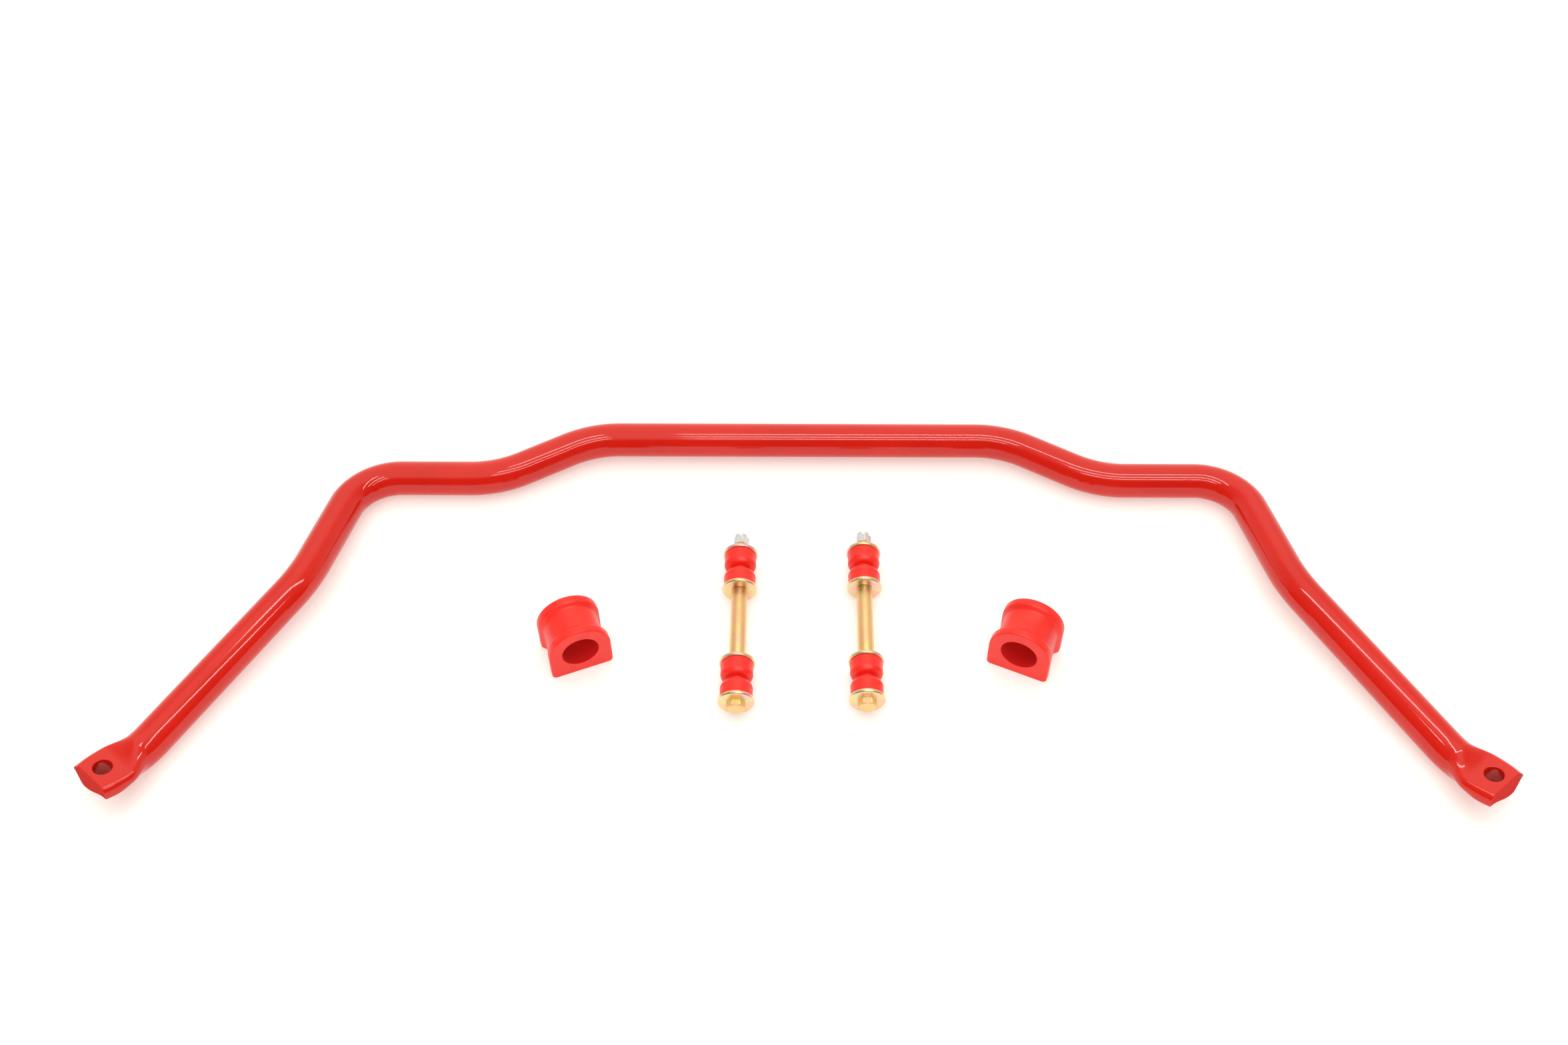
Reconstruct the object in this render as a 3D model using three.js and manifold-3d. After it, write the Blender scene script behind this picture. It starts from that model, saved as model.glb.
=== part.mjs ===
// A front sway bar kit laid out on a flat surface, in millimetres with +Z up.
//
// The bar lies with its centre section at the back and its two arms coming forward to flattened eyes.
// In front of it lie two D-shaped frame bushings and two end links, each link a bolt that strings
// washers, grommets and a spacer sleeve together. The origin is the middle of the bar's footprint on
// the surface: +X runs along the bar, +Y points to its centre section.
//
// The bar is one steel rod that twists along its length when the car leans. It is built here as two
// halves that meet with a hair gap at the middle, so that one arm can turn against the other.

import * as THREE from 'three';
import { mergeVertices } from 'three/addons/utils/BufferGeometryUtils.js';
import Module from 'manifold-3d';

const wasm = await Module();
wasm.setup();

// ---------------------------------------------------------------- driving dimensions

const CLEARANCE = 0.3; // gap kept between pieces that touch on the real kit

// The bar: the corners of its right half, as if its bends were sharp, and the bend radii.
const BAR_RADIUS = 31.75 / 2;
const BAR_SIDES = 24;
const MOUNT_Y = 141.2; // the straights that the frame bushings grip
const CENTRE_Y = 188.6; // the centre section stands back from them to clear the engine
const CENTRE_Z = 18;
const CENTRE_END_X = 193.6;
const MOUNT_START_X = 278.6;
const MOUNT_END_X = 406.1;
const ARM_BEND = new THREE.Vector3(434.8, 16.2, 24.5); // the arms arch clear of the surface here
const NECK = new THREE.Vector3(538, -157.6, BAR_RADIUS); // they come down to it again here
const PAD_END = new THREE.Vector3(567.5, -193.4, 26); // and the eyes tip up from there
const OFFSET_BEND_RADIUS = 100;
const ARM_BEND_RADIUS = 47.5;
const MID_ARM_BEND_RADIUS = 120;
const NECK_BEND_RADIUS = 45;
const ARC_STEP = THREE.MathUtils.degToRad(8);

// The eye: the rod's end pressed flat on top between dies, then cut off square and drilled. Below it
// stays rounded, and it is deepest towards the outer side. Heights are from the sharp outer ridge.
const PAD_HALF_WIDTH = 24; // at the hole, out to the side ridges
const PAD_END_HALF_WIDTH = 22;
const PAD_TOP = 9;
const PAD_BELLY = 12.7;
const PAD_INNER_RIDGE = -1.7;
const PAD_OUTER_INSET = 7.5; // from the ridge in to the flat top
const PAD_INNER_INSET = 4.5;
const PAD_OUTER_BULGE = 1.4; // how full the side is between its ridge and the flat top
const PAD_INNER_BULGE = 3.5;
const PAD_BELLY_SHIFT = 0.41; // from the middle to the deepest line, as a share of the half width
const PAD_BELLY_FULLNESS = 1.17; // how steeply the outer side drops to the deepest line
const PRESS_START = 52; // distance back from the end where the round rod starts to flatten
const PRESS_END = 29; // and where it is fully flat
const EYE_HOLE_RADIUS = 7.7;
const EYE_HOLE_SETBACK = 13;

// Frame bushing: a D-shaped block with a flange at each end and a waist for its bracket.
const BUSHING_LENGTH = 41;
const BUSHING_RADIUS = 27.1; // of the arch, and half the width of the base
const BUSHING_BORE_HEIGHT = 26;
const BUSHING_BORE_RADIUS = BAR_RADIUS + 0.1;
const BUSHING_WAIST = 3.4;
const BUSHING_CORNER = 3;
const BUSHINGS = {
  left: { x: -183.5, y: -62.6, turn: 22 },
  right: { x: 188.8, y: -63.8, turn: -24 },
};

// End link: its stack is measured along the bolt from the middle of the sleeve.
const LINKS = {
  left: { x: -50.4, y: -26.9 },
  right: { x: 59.8, y: -24.4 },
};
const LATHE_SIDES = 24;
const WASHER_RADIUS = 15.45;
const WASHER_THICKNESS = 3.4;
const GROMMET_RADIUS = 14.2;
const NIPPLE_RADIUS = 7.7;
const SLEEVE_RADIUS = 7;
const SLEEVE_SPACE = 75.4; // between the washers on either side of the sleeve
const CLAMP_SPACE = 42.6; // across two washers and the two grommets between them
const SHANK_RADIUS = 4.76;
const THREAD_RADIUS = 4.45; // mean radius of the 3/8-16 thread
const PASSAGE_RADIUS = 5.1; // hole through everything strung on the bolt
const HEAD_ACROSS_FLATS = 14;
const HEAD_HEIGHT = 6.35;
const NUT_ACROSS_FLATS = 13.2;
const NUT_HEX_HEIGHT = 8.2;
const NUT_COLLAR_HEIGHT = 3.3;
const NUT_COLLAR_RADIUS = 6.45;
const NUT_TURN = 15; // degrees that the nut stopped short of square with the bolt's head
const NUT_STANDOFF = 7.6; // the nut is only run on by its own height, clear of its washer
const NUT_BORE_RADIUS = THREAD_RADIUS + CLEARANCE;
const INSERT_RADIUS = 5.65;
const INSERT_HEIGHT = 2.6;
const THREAD_LENGTH = 38;
const LINK_HALF = SLEEVE_SPACE / 2 + CLAMP_SPACE;

const MATERIALS = {
  powderCoat: new THREE.MeshStandardMaterial({ color: 0xd6231a, roughness: 0.25, metalness: 0 }),
  polyurethane: new THREE.MeshStandardMaterial({ color: 0xf0281c, roughness: 0.45, metalness: 0 }),
  yellowZinc: new THREE.MeshStandardMaterial({ color: 0xd8b25a, roughness: 0.3, metalness: 1 }),
  clearZinc: new THREE.MeshStandardMaterial({ color: 0xc9ccd0, roughness: 0.25, metalness: 1 }),
  nylon: new THREE.MeshStandardMaterial({ color: 0xe8e8e2, roughness: 0.5, metalness: 0 }),
};

const kit = new THREE.Group();

// ---------------------------------------------------------------- solids

function signedVolume(geometry) {
  const position = geometry.getAttribute('position');
  const index = geometry.getIndex();
  const a = new THREE.Vector3();
  const b = new THREE.Vector3();
  const c = new THREE.Vector3();
  let volume = 0;
  for (let i = 0; i < index.count; i += 3) {
    a.fromBufferAttribute(position, index.getX(i));
    b.fromBufferAttribute(position, index.getX(i + 1));
    c.fromBufferAttribute(position, index.getX(i + 2));
    volume += a.dot(b.cross(c)) / 6;
  }
  return volume;
}

// Merges shared vertices and turns the faces outward.
function closed(geometry) {
  geometry.deleteAttribute('normal');
  geometry.deleteAttribute('uv');
  const merged = mergeVertices(geometry, 1e-4);
  if (signedVolume(merged) < 0) {
    const array = merged.getIndex().array;
    for (let i = 0; i < array.length; i += 3) {
      const first = array[i];
      array[i] = array[i + 1];
      array[i + 1] = first;
    }
  }
  return merged;
}

function toManifold(geometry) {
  const solid = closed(geometry);
  return new wasm.Manifold(new wasm.Mesh({
    numProp: 3,
    vertProperties: new Float32Array(solid.getAttribute('position').array),
    triVerts: new Uint32Array(solid.getIndex().array),
  }));
}

function fromManifold(solid) {
  const mesh = solid.getMesh();
  const geometry = new THREE.BufferGeometry();
  geometry.setAttribute('position', new THREE.BufferAttribute(mesh.vertProperties, 3));
  geometry.setIndex(new THREE.BufferAttribute(mesh.triVerts, 1));
  geometry.computeVertexNormals();
  return geometry;
}

// Joins rings of equal length into one closed skin, capping the first and the last ring flat.
function loft(rings) {
  const sides = rings[0].length;
  const points = rings.flat();
  const triangles = [];
  for (let r = 0; r + 1 < rings.length; r += 1) {
    for (let k = 0; k < sides; k += 1) {
      const a = r * sides + k;
      const b = r * sides + (k + 1) % sides;
      triangles.push(a, b, a + sides, b, b + sides, a + sides);
    }
  }
  const addCap = (start, reversed) => {
    for (let k = 1; k + 1 < sides; k += 1) {
      const fan = [start, start + k, start + k + 1];
      triangles.push(...(reversed ? fan.reverse() : fan));
    }
  };
  addCap(0, true);
  addCap((rings.length - 1) * sides, false);
  const geometry = new THREE.BufferGeometry();
  geometry.setAttribute('position', new THREE.Float32BufferAttribute(points.flatMap((p) => p.toArray()), 3));
  geometry.setIndex(triangles);
  return closed(geometry);
}

// Revolves a closed [radius, y] outline about the Y axis.
function turned(outline) {
  const points = outline.map(([radius, y]) => new THREE.Vector2(radius, y));
  return closed(new THREE.LatheGeometry([...points, points[0]], LATHE_SIDES));
}

// A hexagonal bar along Y from y = 0, with a corner edge turned by `turn` degrees from the X axis.
function hexBar(acrossFlats, height, turn) {
  const cornerRadius = acrossFlats / Math.sqrt(3);
  const geometry = new THREE.CylinderGeometry(cornerRadius, cornerRadius, height, 6);
  geometry.rotateY(THREE.MathUtils.degToRad(90 + turn));
  geometry.translate(0, height / 2, 0);
  return geometry;
}

function addMesh(parent, name, geometry, material) {
  const mesh = new THREE.Mesh(geometry, material);
  mesh.name = name;
  parent.add(mesh);
}

// ---------------------------------------------------------------- the bar

// Points and directions along straight runs joined by round bends.
function bentPath(corners, radii) {
  const stations = [];
  const direction = (from, to) => new THREE.Vector3().subVectors(to, from).normalize();
  stations.push({ point: corners[0].clone(), along: direction(corners[0], corners[1]) });
  for (let i = 1; i + 1 < corners.length; i += 1) {
    const inward = direction(corners[i - 1], corners[i]);
    const outward = direction(corners[i], corners[i + 1]);
    const angle = inward.angleTo(outward);
    const radius = radii[i - 1];
    const setback = radius * Math.tan(angle / 2);
    const start = corners[i].clone().addScaledVector(inward, -setback);
    const axis = new THREE.Vector3().crossVectors(inward, outward).normalize();
    const toCentre = new THREE.Vector3().crossVectors(axis, inward);
    const centre = start.clone().addScaledVector(toCentre, radius);
    const steps = Math.ceil(angle / ARC_STEP);
    for (let k = 0; k <= steps; k += 1) {
      const swept = angle * k / steps;
      const spoke = start.clone().sub(centre).applyAxisAngle(axis, swept);
      stations.push({ point: spoke.add(centre), along: inward.clone().applyAxisAngle(axis, swept) });
    }
  }
  const last = corners.length - 1;
  stations.push({ point: corners[last].clone(), along: direction(corners[last - 1], corners[last]) });
  return stations;
}

// Adds stations every few millimetres over the pressed end, and gives each one its distance from the end.
function withPadStations(stations) {
  const spacing = 3;
  const dense = [];
  let fromEnd = 0;
  for (let i = stations.length - 1; i > 0; i -= 1) {
    const here = stations[i];
    const before = stations[i - 1];
    const length = here.point.distanceTo(before.point);
    const pieces = fromEnd < PRESS_START ? Math.ceil(length / spacing) : 1;
    for (let k = 0; k < pieces; k += 1) {
      const share = k / pieces;
      const distance = fromEnd + length * share;
      if (k > 0 && distance > PRESS_START + spacing) break;
      dense.push({
        point: here.point.clone().lerp(before.point, share),
        along: here.along.clone().lerp(before.along, share).normalize(),
        fromEnd: distance,
      });
    }
    fromEnd += length;
  }
  dense.push({ ...stations[0], fromEnd });
  return dense.reverse();
}

// Depth of the rounded underside at a share of the half width: +1 at the inner ridge, -1 at the outer.
function bellyDepth(share) {
  const towardInner = (share + PAD_BELLY_SHIFT) / (1 + PAD_BELLY_SHIFT);
  const towardOuter = -(share + PAD_BELLY_SHIFT) / (1 - PAD_BELLY_SHIFT);
  if (towardInner > 0) {
    return THREE.MathUtils.lerp(-PAD_INNER_RIDGE, PAD_BELLY, THREE.MathUtils.smoothstep(1 - towardInner, 0, 1));
  }
  return PAD_BELLY * THREE.MathUtils.smoothstep(PAD_BELLY_FULLNESS * (1 - towardOuter), 0, 1);
}

// The pressed section at an angle round the rod, measured from the inner ridge over the top.
function pressedPoint(angle, halfWidth) {
  const across = Math.cos(angle);
  const up = Math.sin(angle);
  if (up < -1e-9) return new THREE.Vector2(halfWidth * across, -bellyDepth(across));
  const inner = across > 0;
  const ridge = inner ? PAD_INNER_RIDGE : 0;
  const inset = inner ? PAD_INNER_INSET : PAD_OUTER_INSET;
  const bulge = inner ? PAD_INNER_BULGE : PAD_OUTER_BULGE;
  const flatShare = 0.7; // sine of the angle at which the section has reached its flat
  const flatEdge = Math.sqrt(1 - flatShare * flatShare);
  const rise = Math.min(1, Math.max(0, up) / flatShare);
  const x = rise < 1
    ? Math.sign(across) * (halfWidth - inset * rise ** bulge)
    : (halfWidth - inset) * across / flatEdge;
  return new THREE.Vector2(x, THREE.MathUtils.lerp(ridge, PAD_TOP, rise));
}

// The directions across the rod, level and square to that, where it runs along `along`.
function crossDirections(along) {
  const side = new THREE.Vector3().crossVectors(along, new THREE.Vector3(0, 0, 1)).normalize();
  return { side, up: new THREE.Vector3().crossVectors(side, along) };
}

function barRing({ point, along, fromEnd }) {
  const { side, up } = crossDirections(along);
  const pressed = 1 - THREE.MathUtils.smoothstep(fromEnd, PRESS_END, PRESS_START);
  const widestAt = 18; // from the end
  const taper = Math.max(0, 1 - fromEnd / widestAt) ** 2;
  const halfWidth = THREE.MathUtils.lerp(PAD_HALF_WIDTH, PAD_END_HALF_WIDTH, taper);
  const ring = [];
  for (let k = 0; k < BAR_SIDES; k += 1) {
    const angle = 2 * Math.PI * k / BAR_SIDES;
    const round = new THREE.Vector2(Math.cos(angle), Math.sin(angle)).multiplyScalar(BAR_RADIUS);
    const at = round.lerp(pressedPoint(angle, halfWidth), pressed);
    ring.push(point.clone().addScaledVector(side, at.x).addScaledVector(up, at.y));
  }
  return ring;
}

function rightHalfBar() {
  const corners = [
    new THREE.Vector3(CLEARANCE / 2, CENTRE_Y, CENTRE_Z),
    new THREE.Vector3(CENTRE_END_X, CENTRE_Y, CENTRE_Z),
    new THREE.Vector3(MOUNT_START_X, MOUNT_Y, BAR_RADIUS),
    new THREE.Vector3(MOUNT_END_X, MOUNT_Y, BAR_RADIUS),
    ARM_BEND,
    NECK,
    PAD_END,
  ];
  const radii = [OFFSET_BEND_RADIUS, OFFSET_BEND_RADIUS, ARM_BEND_RADIUS, MID_ARM_BEND_RADIUS, NECK_BEND_RADIUS];
  const rod = toManifold(loft(withPadStations(bentPath(corners, radii)).map(barRing)));
  const alongPad = new THREE.Vector3().subVectors(PAD_END, NECK).normalize();
  const holeCentre = PAD_END.clone().addScaledVector(alongPad, -EYE_HOLE_SETBACK);
  const squareToPad = new THREE.Quaternion().setFromUnitVectors(
    new THREE.Vector3(0, 1, 0),
    crossDirections(alongPad).up,
  );
  const drill = new THREE.CylinderGeometry(EYE_HOLE_RADIUS, EYE_HOLE_RADIUS, 4 * PAD_BELLY, 24);
  drill.applyQuaternion(squareToPad);
  drill.translate(holeCentre.x, holeCentre.y, holeCentre.z);
  return fromManifold(rod.subtract(toManifold(drill)));
}

function buildBar() {
  const right = rightHalfBar();
  const left = right.clone().scale(-1, 1, 1);
  addMesh(kit, 'bar_right_half', right, MATERIALS.powderCoat);
  addMesh(kit, 'bar_left_half', closed(left), MATERIALS.powderCoat);
}

// ---------------------------------------------------------------- frame bushings

// One D-shaped section across the bore, drawn in by `inset` everywhere but at its flat base.
function bushingSection(y, inset) {
  const half = BUSHING_RADIUS - inset;
  const ring = [];
  const archSteps = 16;
  for (let k = 0; k <= archSteps; k += 1) {
    const angle = Math.PI * k / archSteps;
    ring.push(new THREE.Vector3(half * Math.cos(angle), y, BUSHING_BORE_HEIGHT + half * Math.sin(angle)));
  }
  const cornerSteps = 3;
  const addCorner = (side, from) => {
    for (let k = 0; k <= cornerSteps; k += 1) {
      const angle = from + (Math.PI / 2) * k / cornerSteps;
      const x = side * (half - BUSHING_CORNER) + BUSHING_CORNER * Math.cos(angle);
      ring.push(new THREE.Vector3(x, y, BUSHING_CORNER + BUSHING_CORNER * Math.sin(angle)));
    }
  };
  addCorner(-1, Math.PI);
  addCorner(1, 1.5 * Math.PI);
  return ring;
}

function buildBushing(side) {
  const { x, y, turn } = BUSHINGS[side];
  // [distance from the end face, how far the outline is drawn in]
  const halfProfile = [
    [0, 1.3], [0.4, 0.5], [1.4, 0], [6.4, 0], [7.6, 0.5], [9.2, 2.6], [10.8, BUSHING_WAIST],
  ];
  const farHalf = halfProfile.map(([along, inset]) => [BUSHING_LENGTH - along, inset]).reverse();
  const block = loft([...halfProfile, ...farHalf].map(([along, inset]) => bushingSection(along, inset)));
  const bore = new THREE.CylinderGeometry(BUSHING_BORE_RADIUS, BUSHING_BORE_RADIUS, 2 * BUSHING_LENGTH, 32);
  bore.translate(0, BUSHING_LENGTH / 2, BUSHING_BORE_HEIGHT);
  const place = new THREE.Group();
  place.position.set(x, y, 0);
  place.rotation.z = THREE.MathUtils.degToRad(turn);
  kit.add(place);
  const solid = toManifold(block).subtract(toManifold(bore));
  addMesh(place, `${side}_frame_bushing`, fromManifold(solid), MATERIALS.polyurethane);
}

// ---------------------------------------------------------------- end links

// A washer whose outer face is at `face`; `inward` (+1 or -1) is the way along the bolt to its grommet.
function washer(face, inward) {
  const outline = [
    [PASSAGE_RADIUS, 0],
    [WASHER_RADIUS - 1.1, 0],
    [WASHER_RADIUS - 0.25, 0.5],
    [WASHER_RADIUS, 1.3],
    [WASHER_RADIUS, WASHER_THICKNESS - 0.9],
    [WASHER_RADIUS - 0.6, WASHER_THICKNESS],
    [PASSAGE_RADIUS, WASHER_THICKNESS],
  ];
  return turned(outline.map(([radius, y]) => [radius, face + inward * y]));
}

// A grommet behind the washer whose outer face is at `face`: a soft cylinder with a rounded inner
// shoulder and a nipple that locates it in an eye.
function grommet(face, inward) {
  const start = WASHER_THICKNESS + CLEARANCE;
  const end = CLAMP_SPACE / 2 - CLEARANCE / 2;
  const shoulder = end - 1.5;
  const outline = [
    [PASSAGE_RADIUS, start],
    [GROMMET_RADIUS, start],
    [GROMMET_RADIUS - 0.25, start + 5],
    [GROMMET_RADIUS, shoulder - 5.4],
    [GROMMET_RADIUS - 0.8, shoulder - 2.9],
    [GROMMET_RADIUS - 2.6, shoulder - 0.9],
    [NIPPLE_RADIUS + 1.8, shoulder],
    [NIPPLE_RADIUS, shoulder + 0.3],
    [NIPPLE_RADIUS, end],
    [PASSAGE_RADIUS, end],
  ];
  return turned(outline.map(([radius, y]) => [radius, face + inward * y]));
}

function sleeve() {
  const end = SLEEVE_SPACE / 2 - CLEARANCE;
  const chamfer = 0.4;
  return turned([
    [PASSAGE_RADIUS, -end],
    [SLEEVE_RADIUS - chamfer, -end],
    [SLEEVE_RADIUS, -end + chamfer],
    [SLEEVE_RADIUS, end - chamfer],
    [SLEEVE_RADIUS - chamfer, end],
    [PASSAGE_RADIUS, end],
  ]);
}

function nutSeat() {
  return LINK_HALF + NUT_STANDOFF;
}

function nutTop() {
  return nutSeat() + NUT_HEX_HEIGHT + NUT_COLLAR_HEIGHT;
}

// Hexagonal head at the near end, plain shank, and a thread whose tip is level with the nut's top.
function bolt() {
  const seat = -LINK_HALF - CLEARANCE;
  const threadStart = nutTop() - THREAD_LENGTH;
  const tip = nutTop() - 0.4;
  const cornerRadius = HEAD_ACROSS_FLATS / Math.sqrt(3);
  const headLimit = turned([
    [0, seat - HEAD_HEIGHT],
    [HEAD_ACROSS_FLATS / 2 - 0.4, seat - HEAD_HEIGHT],
    [cornerRadius + 0.1, seat - HEAD_HEIGHT + 0.9],
    [cornerRadius + 0.1, seat],
    [0, seat],
  ]);
  const headHex = hexBar(HEAD_ACROSS_FLATS, HEAD_HEIGHT, 0).translate(0, seat - HEAD_HEIGHT, 0);
  const shank = turned([
    [0, seat - HEAD_HEIGHT / 2],
    [SHANK_RADIUS, seat - HEAD_HEIGHT / 2],
    [SHANK_RADIUS, threadStart],
    [THREAD_RADIUS, threadStart + 0.5],
    [THREAD_RADIUS, tip - 1],
    [THREAD_RADIUS - 0.9, tip],
    [0, tip],
  ]);
  const head = toManifold(headHex).intersect(toManifold(headLimit));
  return fromManifold(head.add(toManifold(shank)));
}

// Lock nut: chamfered hexagon and a round collar that is rolled over the nylon insert.
function nut() {
  const seat = nutSeat();
  const shoulder = seat + NUT_HEX_HEIGHT;
  const top = nutTop();
  const cornerRadius = NUT_ACROSS_FLATS / Math.sqrt(3);
  const outside = turned([
    [0, seat],
    [NUT_ACROSS_FLATS / 2, seat],
    [cornerRadius + 0.1, seat + 0.8],
    [cornerRadius + 0.1, shoulder - 0.8],
    [NUT_ACROSS_FLATS / 2, shoulder],
    [0, shoulder],
  ]);
  const collar = turned([
    [0, shoulder - 1],
    [NUT_COLLAR_RADIUS, shoulder - 1],
    [NUT_COLLAR_RADIUS, top - 1.5],
    [NUT_COLLAR_RADIUS - 0.4, top - 0.5],
    [NUT_COLLAR_RADIUS - 1.1, top],
    [0, top],
  ]);
  const cavityRadius = INSERT_RADIUS + CLEARANCE;
  const insertBase = top - 0.3 - INSERT_HEIGHT;
  const passage = turned([
    [0, seat - 1],
    [NUT_BORE_RADIUS, seat - 1],
    [NUT_BORE_RADIUS, insertBase - CLEARANCE],
    [cavityRadius, insertBase - CLEARANCE],
    [cavityRadius, top - 1],
    [NUT_BORE_RADIUS + 0.3, top + 0.3],
    [NUT_BORE_RADIUS + 0.3, top + 1],
    [0, top + 1],
  ]);
  const hexagon = toManifold(hexBar(NUT_ACROSS_FLATS, NUT_HEX_HEIGHT, NUT_TURN).translate(0, seat, 0));
  const body = hexagon.intersect(toManifold(outside)).add(toManifold(collar));
  return fromManifold(body.subtract(toManifold(passage)));
}

// The nylon ring inside the nut's collar, its outer top edge turned in under the rolled lip.
function nutInsert() {
  const top = nutTop() - 0.3 - 1;
  const base = nutTop() - 0.3 - INSERT_HEIGHT;
  return turned([
    [NUT_BORE_RADIUS, base],
    [INSERT_RADIUS, base],
    [INSERT_RADIUS, top - 0.5],
    [NUT_BORE_RADIUS + 0.3, top],
    [NUT_BORE_RADIUS, top],
  ]);
}

function buildLink(side) {
  const place = new THREE.Group();
  place.position.set(LINKS[side].x, LINKS[side].y, WASHER_RADIUS);
  kit.add(place);
  const add = (piece, geometry, material) => addMesh(place, `${side}_link_${piece}`, geometry, material);
  const half = SLEEVE_SPACE / 2;
  const clamps = [
    { name: 'head_end', outer: -LINK_HALF, inner: -half, inward: 1 },
    { name: 'nut_end', outer: LINK_HALF, inner: half, inward: -1 },
  ];
  for (const { name, outer, inner, inward } of clamps) {
    add(`${name}_outer_washer`, washer(outer, inward), MATERIALS.yellowZinc);
    add(`${name}_outer_grommet`, grommet(outer, inward), MATERIALS.polyurethane);
    add(`${name}_inner_grommet`, grommet(inner, -inward), MATERIALS.polyurethane);
    add(`${name}_inner_washer`, washer(inner, -inward), MATERIALS.yellowZinc);
  }
  add('sleeve', sleeve(), MATERIALS.yellowZinc);
  add('bolt', bolt(), MATERIALS.yellowZinc);
  add('nut', nut(), MATERIALS.clearZinc);
  add('nut_insert', nutInsert(), MATERIALS.nylon);
}

// ---------------------------------------------------------------- assembly

buildBar();
for (const side of ['left', 'right']) {
  buildBushing(side);
  buildLink(side);
}

export default kit;
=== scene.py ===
# A front sway bar kit on a pale floor: the bent bar, two frame bushings and two end links.
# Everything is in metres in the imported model's frame: +X runs along the bar, +Y points to its centre
# section and +Z is up. Each piece is rebuilt smoothly around its CAD node and rides on that node's body.

import math

import bmesh
import bpy
from mathutils import Matrix, Quaternion, Vector


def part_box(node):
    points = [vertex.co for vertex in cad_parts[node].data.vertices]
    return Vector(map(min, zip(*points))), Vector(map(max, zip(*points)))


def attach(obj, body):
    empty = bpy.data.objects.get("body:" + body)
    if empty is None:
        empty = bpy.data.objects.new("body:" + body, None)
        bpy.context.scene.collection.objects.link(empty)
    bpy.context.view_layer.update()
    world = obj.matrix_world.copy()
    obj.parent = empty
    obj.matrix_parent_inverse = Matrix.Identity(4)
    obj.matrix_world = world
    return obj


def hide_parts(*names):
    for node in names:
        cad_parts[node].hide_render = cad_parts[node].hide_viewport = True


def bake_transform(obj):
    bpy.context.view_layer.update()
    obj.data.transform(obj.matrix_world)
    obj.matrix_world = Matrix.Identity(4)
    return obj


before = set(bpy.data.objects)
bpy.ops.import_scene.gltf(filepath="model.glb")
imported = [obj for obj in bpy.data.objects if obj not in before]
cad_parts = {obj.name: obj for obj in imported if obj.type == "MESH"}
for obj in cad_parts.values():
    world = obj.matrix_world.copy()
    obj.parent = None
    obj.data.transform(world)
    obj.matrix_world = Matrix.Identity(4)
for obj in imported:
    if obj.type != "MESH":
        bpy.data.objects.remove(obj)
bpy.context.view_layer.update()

MM = 0.001
WELD_DISTANCE = 1e-6  # points closer than this are one point
SLIVER = 1e-7  # lengths shorter than this count as none

# ---------------------------------------------------------------- dimensions

# The bar: the corners of its right half, as if its bends were sharp, and the bend radii.
BAR_RADIUS = 15.875 * MM
BAR_SIDES = 128
MOUNT_Y = 0.1412
CENTRE_Y = 0.1886
CENTRE_Z = 0.018
BAR_CORNERS = [
    Vector((0, CENTRE_Y, CENTRE_Z)),
    Vector((0.1936, CENTRE_Y, CENTRE_Z)),
    Vector((0.2786, MOUNT_Y, BAR_RADIUS)),
    Vector((0.4061, MOUNT_Y, BAR_RADIUS)),
    Vector((0.4348, 0.0162, 0.0245)),
    Vector((0.538, -0.1576, BAR_RADIUS)),
    Vector((0.5675, -0.1934, 0.026)),
]
BEND_RADII = [0.1, 0.1, 0.0475, 0.12, 0.09]
BEND_STEP = math.radians(2)
STRAIGHT_STEP = 6 * MM
PAD_STEP = 1 * MM

# The eye: the rod's end pressed flat on top, cut off square and drilled.
PAD_HALF_WIDTH = 24 * MM
PAD_END_HALF_WIDTH = 22 * MM
PAD_WIDEST_AT = 18 * MM
PAD_TOP = 9 * MM
PAD_BELLY = 12.7 * MM
PAD_INNER_RIDGE = -1.7 * MM
PAD_OUTER_INSET = 7.5 * MM
PAD_INNER_INSET = 4.5 * MM
PAD_OUTER_BULGE = 1.4
PAD_INNER_BULGE = 3.5
PAD_BELLY_SHIFT = 0.41
PAD_BELLY_FULLNESS = 1.17
PAD_FLAT_SHARE = 0.7  # sine of the angle round the rod at which the section has reached its flat
PAD_SOFTENING = math.radians(5)
SPREAD_START = 48 * MM  # from the end: the rod begins to widen here, and is wide at SPREAD_END
SPREAD_END = 24 * MM
PRESS_START = 46 * MM  # its top begins to flatten here
PRESS_END = 24 * MM
BELLY_START = 44 * MM  # its underside begins to change shape here
BELLY_END = 8 * MM
BELLY_BLEND = 0.4  # sine of the angle, above and below the sides, over which belly and top meet
END_ROUNDING = 0.7 * MM
END_FACE_INSET = 1.4 * END_ROUNDING  # of a last ring, which keeps the end's shading flat
WEAR_REACH = 5 * MM  # how far the bare steel spreads from an eye's outer tip
EYE_HOLE_RADIUS = 7.7 * MM
EYE_HOLE_SETBACK = 13 * MM
EYE_HOLE_ROUNDING = 0.8 * MM

# Frame bushing.
BUSHING_LENGTH = 41 * MM
BUSHING_RADIUS = 27.1 * MM
BUSHING_BORE_HEIGHT = 26 * MM
BUSHING_BORE_RADIUS = 15.975 * MM
BUSHING_WAIST = 3.4 * MM
BUSHING_FLANGE = 6.2 * MM  # along the bore, from an end face to where the waist begins
BUSHING_WAIST_RUN = 4.8 * MM
BUSHING_CORNER = 3 * MM
BUSHING_EDGE = 1.3 * MM
BUSHING_BORE_EDGE = 0.6 * MM
BUSHING_TURN = {"left": math.radians(22), "right": math.radians(-24)}

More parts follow.
